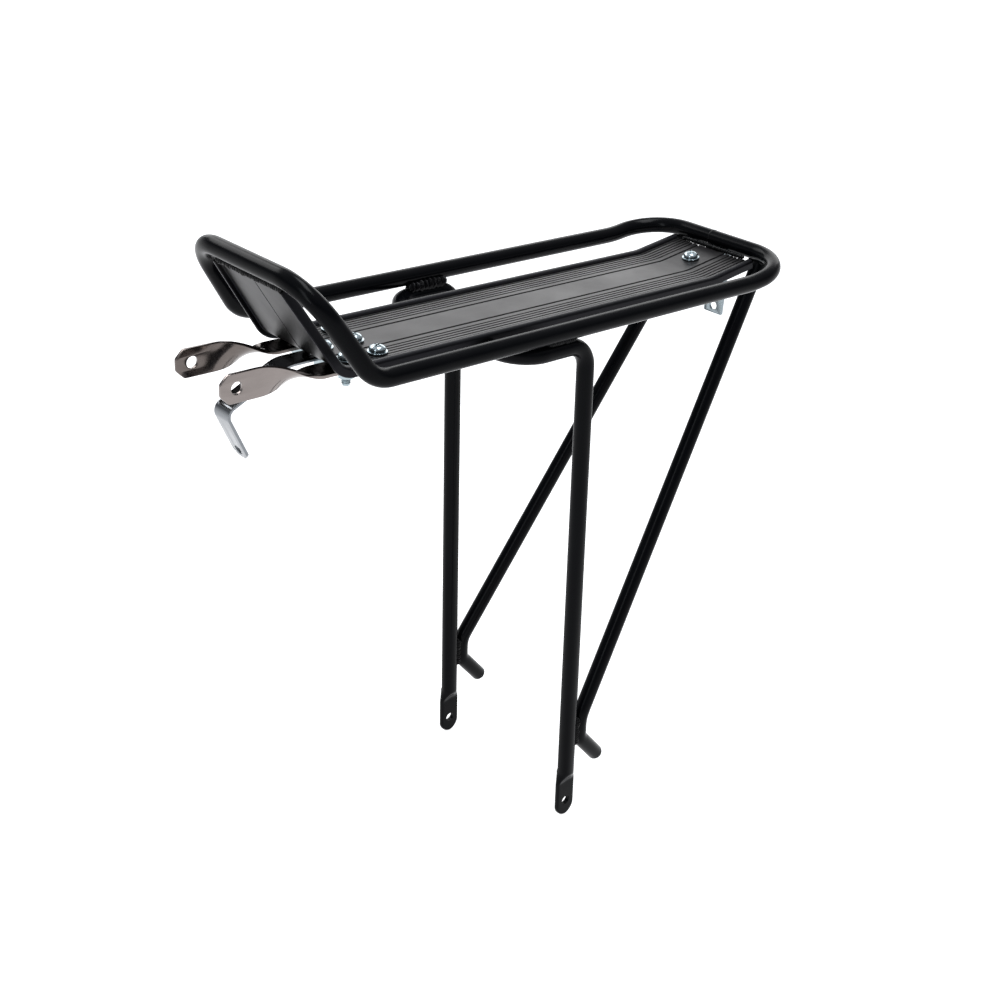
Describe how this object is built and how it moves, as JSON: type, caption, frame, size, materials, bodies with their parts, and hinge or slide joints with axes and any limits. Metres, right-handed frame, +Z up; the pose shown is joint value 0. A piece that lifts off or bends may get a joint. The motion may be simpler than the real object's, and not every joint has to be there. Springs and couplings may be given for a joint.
{
  "type": "bicycle luggage carrier",
  "caption": "Rear luggage carrier for a bicycle: bent tube frame with raised front hoop, ribbed deck plate, legs with eyelet feet, rear stays ending in pannier pegs, and adjustable straps.",
  "frame": {"origin": "midpoint between the two leg eyelets, on the axis of the bolts that join the legs to the bicycle's rear dropouts", "axes": "-X towards the bicycle's front, +Y to its right, +Z up; the deck is level"},
  "size_m": [0.3895, 0.1258, 0.3909],
  "materials": {
    "powder_coat": "satin black powder coat",
    "anodised_deck": "dark grey satin anodised",
    "bright_plate": "bright nickel plate",
    "zinc_plate": "bright zinc plate"
  },
  "bodies": {
    "carrier": {"frame_loop": "powder_coat", "deck_plate": "anodised_deck", "support_frame": "powder_coat", "stay_left": "powder_coat", "stay_right": "powder_coat", "bolt_left_rear": "zinc_plate", "top_washer_left_rear": "zinc_plate", "low_washer_left_rear": "zinc_plate", "nut_left_rear": "zinc_plate", "bolt_centre_rear": "zinc_plate", "top_washer_centre_rear": "zinc_plate", "low_washer_centre_rear": "zinc_plate", "nut_centre_rear": "zinc_plate", "bolt_right_rear": "zinc_plate", "top_washer_right_rear": "zinc_plate", "low_washer_right_rear": "zinc_plate", "nut_right_rear": "zinc_plate", "bolt_left_front": "zinc_plate", "top_washer_left_front": "zinc_plate", "low_washer_left_front": "zinc_plate", "nut_left_front": "zinc_plate", "bolt_centre_front": "zinc_plate", "top_washer_centre_front": "zinc_plate", "low_washer_centre_front": "zinc_plate", "nut_centre_front": "zinc_plate", "bolt_right_front": "zinc_plate", "top_washer_right_front": "zinc_plate", "low_washer_right_front": "zinc_plate", "nut_right_front": "zinc_plate", "bolt_reflector": "zinc_plate", "top_washer_reflector": "zinc_plate", "low_washer_reflector": "zinc_plate", "nut_reflector": "zinc_plate"},
    "strap_left": {"strap_left": "bright_plate"},
    "strap_right": {"strap_right": "bright_plate"},
    "strap_bridge": {"strap_bridge": "bright_plate"},
    "reflector_bracket": {"reflector_bracket": "zinc_plate"}
  },
  "joints": [
    {"name": "strap_left_slide", "type": "slide", "parent": "carrier", "child": "strap_left", "axis": [1, 0, 0], "range_m": [-0.006, 0.005]},
    {"name": "strap_right_slide", "type": "slide", "parent": "carrier", "child": "strap_right", "axis": [1, 0, 0], "range_m": [-0.006, 0.005]},
    {"name": "strap_bridge_slide", "type": "slide", "parent": "carrier", "child": "strap_bridge", "axis": [1, 0, 0], "range_m": [-0.006, 0.005]},
    {"name": "reflector_turn", "type": "hinge", "parent": "carrier", "child": "reflector_bracket", "pos_m": [0.13, 0, 0.32454], "axis": [-0.1495, 0, 0.9888], "range_deg": [-35, 35]}
  ]
}
